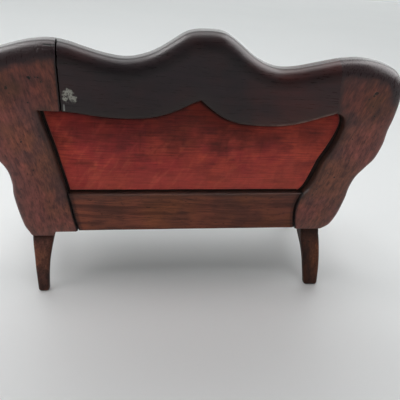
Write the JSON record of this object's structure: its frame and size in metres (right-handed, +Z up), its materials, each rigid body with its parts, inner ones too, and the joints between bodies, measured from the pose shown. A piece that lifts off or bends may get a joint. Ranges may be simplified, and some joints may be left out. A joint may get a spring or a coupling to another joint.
{
  "type": "miniature settee",
  "caption": "Doll-sized settee with a serpentine show-wood back, scalloped stiles, padded open arms, curved front legs and raked back legs, stuffed and covered in red cloth.",
  "frame": {"origin": "centre of the bounding box on the floor", "axes": "+Z up; the seat faces -Y and the leaning back is towards +Y; +X is the sitter's left"},
  "size_m": [0.19, 0.088, 0.1371],
  "materials": {
    "mahogany": "satin French polish, open pores",
    "rail_wood": "thin polish",
    "dark_mahogany": "dark stained, satin",
    "inner_wood": "bare",
    "red_cloth": "plain woven",
    "gimp_braid": "braided",
    "wadding": "loose cotton",
    "pin_steel": "dull"
  },
  "bodies": {
    "root": {"left_back_stile": "mahogany", "right_back_stile": "mahogany", "front_seat_rail": "mahogany", "left_front_leg": "mahogany", "right_front_leg": "mahogany", "left_arm": "mahogany", "right_arm": "mahogany", "left_arm_post": "mahogany", "right_arm_post": "mahogany", "back_seat_rail": "rail_wood", "left_side_rail": "rail_wood", "right_side_rail": "rail_wood", "crest_rail": "dark_mahogany", "left_back_leg": "dark_mahogany", "right_back_leg": "dark_mahogany", "corner_blocks": "inner_wood", "crest_dowels": "inner_wood", "back_rail_dowels": "inner_wood", "side_rail_dowels": "inner_wood", "front_rail_dowels": "inner_wood", "leg_dowels": "inner_wood", "arm_dowels": "inner_wood", "back_board": "inner_wood", "seat_board": "inner_wood", "outside_back_panel": "red_cloth", "inside_back_cover": "red_cloth", "seat_cover": "red_cloth", "left_arm_pad": "red_cloth", "right_arm_pad": "red_cloth", "back_gimp": "gimp_braid", "seat_gimp": "gimp_braid", "inside_back_wadding": "wadding", "seat_wadding": "wadding", "back_board_pins": "pin_steel"}
  },
  "joints": []
}
